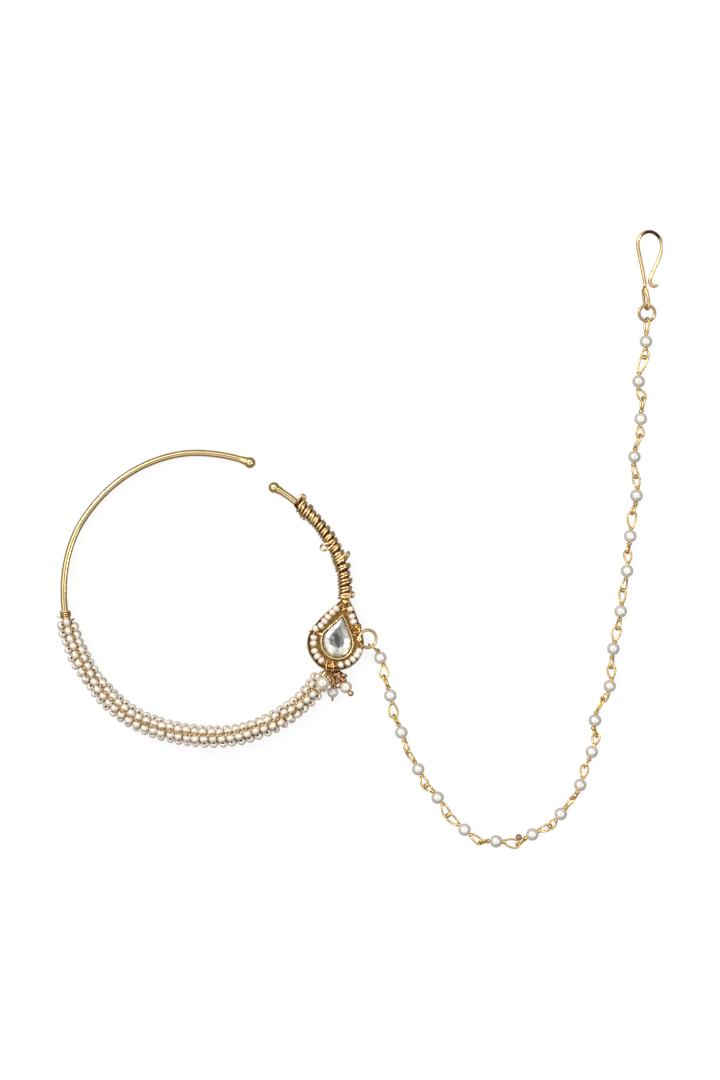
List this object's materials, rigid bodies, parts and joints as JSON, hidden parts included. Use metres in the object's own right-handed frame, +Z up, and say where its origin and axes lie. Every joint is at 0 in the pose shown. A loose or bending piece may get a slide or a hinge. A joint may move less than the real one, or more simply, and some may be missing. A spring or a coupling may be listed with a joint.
{
  "type": "nath nose ring",
  "caption": "Bridal hoop nose ring with a seed-bead sleeve, a wire-wrapped stretch, a drop-shaped stone setting and a pearl chain that ends in a hair hook.",
  "frame": {"origin": "middle of the object's own box, on the surface that it lies on", "axes": "+Z up, out of the faces of hoop and setting; +X from the hoop towards the chain; +Y from the chain's bend towards the hair hook"},
  "size_m": [0.1152, 0.1176, 0.0066],
  "materials": {
    "gilt": "polished pale gold plating, slightly worn",
    "antique_gilt": "darkened antique gold, brown in the recesses",
    "pearl": "silvery white pearl coat",
    "seed_pearl": "creamy white pearl glass",
    "stone": "foil-backed clear cut stone, silvery"
  },
  "bodies": {
    "root": {"hoop_and_setting": "gilt", "drop_stone": "stone", "border_pearls": "seed_pearl", "bead_sleeve": "seed_pearl", "sleeve_binding": "gilt", "wrap_coil": "antique_gilt", "drop_wires": "antique_gilt", "drop_pearl_1": "pearl", "drop_pearl_2": "pearl", "drop_pearl_3": "pearl", "pendant_jump_ring": "gilt", "hook_jump_ring": "gilt", "hair_hook": "gilt", "chain_pearl_01": "pearl", "chain_pearl_02": "pearl", "chain_pearl_03": "pearl", "chain_pearl_04": "pearl", "chain_pearl_05": "pearl", "chain_pearl_06": "pearl", "chain_pearl_07": "pearl", "chain_pearl_08": "pearl", "chain_pearl_09": "pearl", "chain_pearl_10": "pearl", "chain_pearl_11": "pearl", "chain_pearl_12": "pearl", "chain_pearl_13": "pearl", "chain_pearl_14": "pearl", "chain_pearl_15": "pearl", "chain_pearl_16": "pearl", "chain_pearl_17": "pearl", "chain_pearl_18": "pearl", "chain_pearl_19": "pearl", "chain_pearl_20": "pearl", "chain_pearl_21": "pearl", "chain_pearl_22": "pearl", "chain_wire_01": "gilt", "chain_wire_02": "gilt", "chain_wire_03": "gilt", "chain_wire_04": "gilt", "chain_wire_05": "gilt", "chain_wire_06": "gilt", "chain_wire_07": "gilt", "chain_wire_08": "gilt", "chain_wire_09": "gilt", "chain_wire_10": "gilt", "chain_wire_11": "gilt", "chain_wire_12": "gilt", "chain_wire_13": "gilt", "chain_wire_14": "gilt", "chain_wire_15": "gilt", "chain_wire_16": "gilt", "chain_wire_17": "gilt", "chain_wire_18": "gilt", "chain_wire_19": "gilt", "chain_wire_20": "gilt", "chain_wire_21": "gilt", "chain_wire_22": "gilt"}
  },
  "joints": []
}
